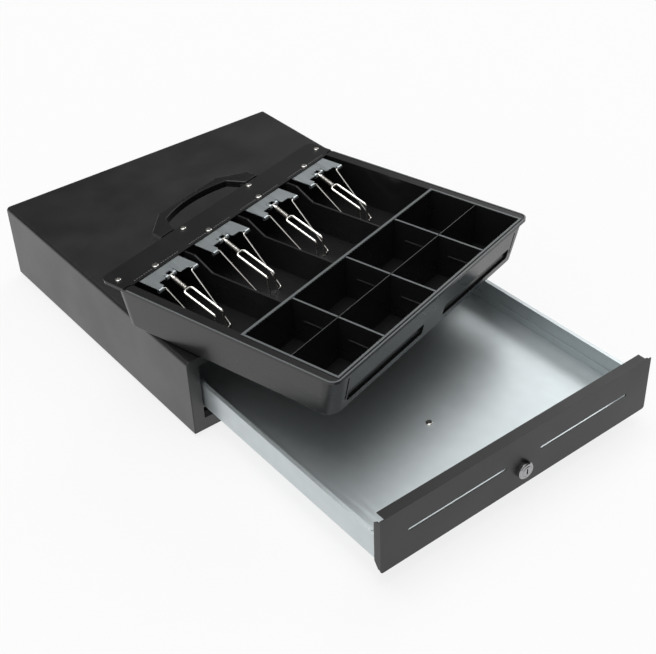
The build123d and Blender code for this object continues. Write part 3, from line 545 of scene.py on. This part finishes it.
# ---------------------------------------------------------------- operators
class PaintedSteel(bpy.types.Operator):
    """Coat the casing, its rear panel, front frame and the drawer's front."""

    bl_idname = "till.painted_steel"
    bl_label = "Painted steel"

    def execute(self, context):
        coats = context.scene.till_coats
        coat = powder_coat("Black powder coat", coats.coat_color, coats.coat_roughness)
        for node in ("casing_cover", "front_frame", "rear_panel"):
            soften(node, coat, coats.edge_width * PANEL_EDGE)
        deep = powder_coat(
            "Deep black coat", coats.coat_color, coats.coat_roughness, level=coats.deep_level)
        for node in ("front_panel", "cover_plate"):
            soften(node, deep, coats.edge_width * PANEL_EDGE)
        paint(["casing_base"], coat)
        dark = powder_coat("Black oxide", (0.03, 0.03, 0.03), roughness=0.45)
        paint(["rear_panel_screws"], dark)
        return {"FINISHED"}


class ZincSteel(bpy.types.Operator):
    """Finish the galvanised pan, rails, brackets and note clips."""

    bl_idname = "till.zinc_steel"
    bl_label = "Galvanised steel"

    def execute(self, context):
        coats = context.scene.till_coats
        pan = zinc_sheet("Galvanised pan", coats.zinc_color, roughness=0.34, metallic=0.68)
        soften("drawer_pan", pan, coats.edge_width * PAN_EDGE)
        sheet = zinc_sheet("Zinc plated sheet", shade_of(coats.zinc_color, 1.05)[:3], roughness=0.3)
        for clip in CLIPS:
            soften(f"clip_bracket_{clip}", sheet, coats.edge_width * CLIP_EDGE)
        paint([
            "left_rail", "right_rail", "left_roller_bracket", "right_roller_bracket", "latch_bracket",
            "solenoid_frame", "latch_hook", "solenoid_plunger", "ejector_guide", "drawer_catch",
            "panel_rivets", "rear_roller_pins", "lock_cam", "lock_nut"], sheet)
        return {"FINISHED"}


class BrightParts(bpy.types.Operator):
    """Plate the wires, screws, rivets, spring and lock."""

    bl_idname = "till.bright_parts"
    bl_label = "Bright parts"

    def execute(self, context):
        coats = context.scene.till_coats
        nickel = bright_plate("Nickel plate", coats.nickel_color, roughness=0.2)
        wires = [f"note_fork_{clip}" for clip in CLIPS]
        wires += [f"{side}_note_leg_{clip}" for side in ("left", "right") for clip in CLIPS]
        paint(wires + ["catch_rivet", "clip_rivets", "plate_screws", "ejector_spring"], nickel)
        chrome = bright_plate("Lock chrome", (0.36, 0.36, 0.37), roughness=0.18)
        soften("lock_housing", chrome, coats.edge_width * LOCK_EDGE)
        paint(["lock_plug"], chrome)
        return {"FINISHED"}


class MouldedTill(bpy.types.Operator):
    """Finish the till's moulding, its handle and the loose dividers."""

    bl_idname = "till.moulded_till"
    bl_label = "Moulded till"

    def execute(self, context):
        coats = context.scene.till_coats
        plastic = moulded_plastic("Black moulding", coats.plastic_color, coats.plastic_roughness)
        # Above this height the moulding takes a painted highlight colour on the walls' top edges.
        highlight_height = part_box("cover_plate")[0].z + HIGHLIGHT_RISE
        paint_crest_highlight(plastic, highlight_height, coats.crest_highlight_color)
        grip = moulded_plastic("Handle moulding", coats.plastic_color, coats.plastic_roughness)
        soften("tray_moulding", plastic, coats.edge_width * TRAY_EDGE, segments=3)
        for node in ("left_coin_divider", "middle_coin_divider", "right_coin_divider"):
            soften(node, plastic, coats.divider_round, segments=4)
        soften("coin_cross_divider", plastic, coats.divider_round / 2, segments=3)
        soften("tray_handle", grip, coats.edge_width)
        return {"FINISHED"}


class SmallParts(bpy.types.Operator):
    """Finish rubber, nylon, winding and board."""

    bl_idname = "till.small_parts"
    bl_label = "Small parts"

    def execute(self, context):
        rubber = soft_polymer("Black rubber", (0.02, 0.02, 0.02), roughness=0.75)
        paint(["rubber_feet"], rubber)
        black_nylon = soft_polymer("Black nylon", (0.02, 0.02, 0.021), roughness=0.5)
        paint(["drawer_switch", "cable_socket"], black_nylon)
        white_nylon = soft_polymer("White nylon", (0.75, 0.74, 0.7), roughness=0.45)
        rollers = [f"{side}_{end}_roller" for end in ("front", "rear") for side in ("left", "right")]
        paint(rollers + ["ejector_pusher"], white_nylon)
        winding = wound_wire("Copper winding", (0.6, 0.26, 0.1))
        paint(["solenoid_coil"], winding)
        board = soft_polymer("Green board", (0.02, 0.14, 0.06), roughness=0.4)
        paint(["interface_board"], board)
        return {"FINISHED"}


class DividerSlots(bpy.types.Operator):
    """Add the rows of ribs that hold the coin dividers."""

    bl_idname = "till.divider_slots"
    bl_label = "Divider slots"

    def execute(self, context):
        detail = context.scene.till_details
        tree = row_tree()
        plastic = bpy.data.materials["Black moulding"]
        for wall, y, z, height, lean in RIB_WALLS:
            rows = []
            for low, high in RIB_SPANS:
                count = int((high - low) / detail.slot_pitch) + 1
                margin = (high - low - (count - 1) * detail.slot_pitch) / 2
                rows.append(grown("row", tree, {
                    "Start": (low + margin, y, z), "Step": (detail.slot_pitch, 0.0, 0.0), "Count": count,
                    "Size": (detail.slot_rib, RIB_DEPTH, height),
                    "Lean": (math.radians(lean), 0.0, 0.0), "Material": plastic}))
            ribs = joined(f"{wall}_wall_slot_ribs", rows, till_frame())
            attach(ribs, "till")
        return {"FINISHED"}


class PlateDimples(bpy.types.Operator):
    """Add the rows of pressed dimples along the plate's front edge."""

    bl_idname = "till.plate_dimples"
    bl_label = "Plate dimples"

    def execute(self, context):
        detail = context.scene.till_details
        tree = dimple_tree()
        # The dimples take a lighter grey than the plate's coat.
        coat = powder_coat("Light grey dimple coat", (0.07, 0.07, 0.072), roughness=0.3)
        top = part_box("cover_plate")[1].z - till_frame().translation.z
        rows = []
        for middle in DIMPLE_MIDDLES:
            for side in (-1, 1):
                start = middle + side * DIMPLE_GAP
                rows.append(grown("row", tree, {
                    "Start": (start, DIMPLE_ROW, top), "Step": (side * detail.dimple_pitch, 0.0, 0.0),
                    "Count": DIMPLE_COUNT, "Radius": DIMPLE_RADIUS,
                    "Flatten": (1.0, 1.0, DIMPLE_HEIGHT), "Material": coat}))
        dimples = joined("plate_dimples", rows, till_frame())
        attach(dimples, "till")
        return {"FINISHED"}


class ForkSprings(bpy.types.Operator):
    """Wind a spring round each fork's shank."""

    bl_idname = "till.fork_springs"
    bl_label = "Fork springs"

    def execute(self, context):
        detail = context.scene.till_details
        tree = spring_tree()
        steel = bright_plate("Spring steel", (0.42, 0.4, 0.37), roughness=0.28)
        seat = till_frame()
        shank = Vector((0.0, SHANK_POINT[0] - FORK_SEAT[0], SHANK_POINT[1] - FORK_SEAT[1])).normalized()
        turn = Vector((0.0, 0.0, 1.0)).rotation_difference(shank).to_matrix().to_4x4()
        for clip in CLIPS:
            pivot = seat.inverted() @ Vector(JOINTS[f"fork_{clip}_lift"]["pos_m"])
            spring = grown("coil", tree, {
                "Turns": detail.spring_turns, "Coil Radius": SPRING_RADIUS,
                "Wire Radius": SPRING_WIRE, "Length": SPRING_LENGTH, "Material": steel})
            place = seat @ Matrix.Translation(pivot + shank * SPRING_START) @ turn
            coil = joined(f"fork_spring_{clip}", [spring], place)
            coil.data.shade_smooth()
            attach(coil, f"fork_{clip}")
        return {"FINISHED"}


class SocketContacts(bpy.types.Operator):
    """Add the spring contacts inside the cable socket."""

    bl_idname = "till.socket_contacts"
    bl_label = "Socket contacts"

    def execute(self, context):
        gold = bright_plate("Gold contacts", (0.9, 0.66, 0.28), roughness=0.2)
        low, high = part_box("cable_socket")
        mouth = Vector(((low.x + high.x) / 2, high.y, (low.z + high.z) / 2))
        rows = grown("row", row_tree(), {
            "Start": tuple(mouth + Vector(CONTACT_START)), "Step": (CONTACT_PITCH, 0.0, 0.0),
            "Count": CONTACT_COUNT, "Size": CONTACT_SIZE,
            "Lean": (math.radians(CONTACT_LEAN), 0.0, 0.0), "Material": gold})
        contacts = joined("socket_contacts", [rows])
        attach(contacts, "casing")
        return {"FINISHED"}


def heading(azimuth, elevation):
    """The unit vector towards an azimuth, clockwise from +Y, and an elevation, in degrees."""
    turn, rise = math.radians(azimuth), math.radians(elevation)
    return Vector((math.sin(turn) * math.cos(rise), math.cos(turn) * math.cos(rise), math.sin(rise)))


def sun_light(name, azimuth, elevation, width, strength):
    """Add a broad distant light from an azimuth and elevation, all angles in degrees."""
    light = bpy.data.lights.new(name, "SUN")
    light.angle = math.radians(width)
    light.energy = strength
    obj = bpy.data.objects.new(name, light)
    obj.rotation_euler = (-heading(azimuth, elevation)).to_track_quat("-Z", "Y").to_euler()
    bpy.context.scene.collection.objects.link(obj)


class Stage(bpy.types.Operator):
    """Set up the plain floor, the soft light and the camera."""

    bl_idname = "till.stage"
    bl_label = "Stage"

    def execute(self, context):
        stage = context.scene.till_stage
        self.floor(stage.floor_color)
        self.world(context.scene)
        sun_light("Key", *KEY_LIGHT, stage.key_strength)
        self.camera(context.scene, stage.lens)
        context.scene.view_settings.view_transform = "Standard"
        return {"FINISHED"}

    def floor(self, color):
        """A wide pale floor that hardly takes a shadow."""
        mesh = bpy.data.meshes.new("floor")
        half = FLOOR_HALF
        corners = [(-half, -half, 0), (half, -half, 0), (half, half, 0), (-half, half, 0)]
        mesh.from_pydata(corners, [], [(0, 1, 2, 3)])
        material = bpy.data.materials.new("Pale floor")
        material.use_nodes = True
        shader = material.node_tree.nodes["Principled BSDF"]
        shader.inputs["Base Color"].default_value = tuple(color) + (1.0,)
        shader.inputs["Roughness"].default_value = 0.9
        shader.inputs["Specular IOR Level"].default_value = 0.1
        shader.inputs["Emission Color"].default_value = (1.0, 1.0, 1.0, 1.0)
        shader.inputs["Emission Strength"].default_value = FLOOR_GLOW
        mesh.materials.append(material)
        new_object("floor", mesh)

    def world(self, scene):
        """Dim surroundings with soft glows, as from large softboxes."""
        world = bpy.data.worlds.new("Surroundings")
        world.use_nodes = True
        tree = world.node_tree
        look = add_node(tree, "ShaderNodeTexCoord").outputs["Generated"]
        total = add_node(tree, "ShaderNodeValue").outputs[0]
        total.default_value = BASE_GLOW
        for azimuth, elevation, focus, strength in GLOWS:
            dot = add_node(tree, "ShaderNodeVectorMath", operation="DOT_PRODUCT")
            dot.inputs[1].default_value = heading(azimuth, elevation)
            facing = add_node(tree, "ShaderNodeMath", operation="MAXIMUM")
            facing.inputs[1].default_value = 0.0
            glow = add_node(tree, "ShaderNodeMath", operation="POWER")
            glow.inputs[1].default_value = focus
            add = add_node(tree, "ShaderNodeMath", operation="MULTIPLY_ADD")
            add.inputs[1].default_value = strength
            tree.links.new(look, dot.inputs[0])
            tree.links.new(dot.outputs["Value"], facing.inputs[0])
            tree.links.new(facing.outputs[0], glow.inputs[0])
            tree.links.new(glow.outputs[0], add.inputs[0])
            tree.links.new(total, add.inputs[2])
            total = add.outputs[0]
        tree.links.new(total, tree.nodes["Background"].inputs["Strength"])
        tree.nodes["Background"].inputs["Color"].default_value = (1.0, 1.0, 1.0, 1.0)
        scene.world = world

    def camera(self, scene, lens):
        """The camera, from the front left and above."""
        azimuth, elevation, roll = (math.radians(angle) for angle in CAMERA_TURN)
        back = Vector((
            math.sin(azimuth) * math.cos(elevation),
            -math.cos(azimuth) * math.cos(elevation),
            math.sin(elevation)))
        side = (-back).cross(Vector((0.0, 0.0, 1.0))).normalized()
        rise = side.cross(-back)
        right = side * math.cos(roll) + rise * math.sin(roll)
        up = rise * math.cos(roll) - side * math.sin(roll)
        data = bpy.data.cameras.new("Camera")
        data.lens = lens
        data.sensor_width = SENSOR_WIDTH
        data.shift_x = CAMERA_SHIFT
        data.clip_end = CAMERA_REACH
        camera = bpy.data.objects.new("Camera", data)
        turn = Matrix((right, up, back)).transposed().to_4x4()
        camera.matrix_world = Matrix.Translation(CAMERA_PLACE) @ turn
        scene.collection.objects.link(camera)
        scene.camera = camera


STEPS = (
    PaintedSteel, ZincSteel, BrightParts, MouldedTill, SmallParts,
    DividerSlots, PlateDimples, ForkSprings, SocketContacts, Stage,
)


class TillPanel(bpy.types.Panel):
    """Lists the steps and their settings."""

    bl_idname = "VIEW3D_PT_till"
    bl_label = "Cash drawer"
    bl_space_type = "VIEW_3D"
    bl_region_type = "UI"
    bl_category = "Cash drawer"

    def draw(self, context):
        scene = context.scene
        for step in STEPS:
            self.layout.operator(step.bl_idname)
        for group in (scene.till_coats, scene.till_details, scene.till_stage):
            for key in group.bl_rna.properties.keys():
                if key not in {"rna_type", "name"}:
                    self.layout.prop(group, key)


CLASSES = (CoatSettings, DetailSettings, StageSettings) + STEPS + (TillPanel,)


def register():
    """Register the classes and their settings."""
    for item in CLASSES:
        bpy.utils.register_class(item)
    bpy.types.Scene.till_coats = bpy.props.PointerProperty(type=CoatSettings)
    bpy.types.Scene.till_details = bpy.props.PointerProperty(type=DetailSettings)
    bpy.types.Scene.till_stage = bpy.props.PointerProperty(type=StageSettings)


def unregister():
    """Remove the settings and the classes."""
    for name in ("till_coats", "till_details", "till_stage"):
        delattr(bpy.types.Scene, name)
    for item in reversed(CLASSES):
        bpy.utils.unregister_class(item)


def main():
    """Make everything, in order."""
    register()
    for step in STEPS:
        family, action = step.bl_idname.split(".")
        getattr(getattr(bpy.ops, family), action)()


if __name__ == "__main__":
    main()
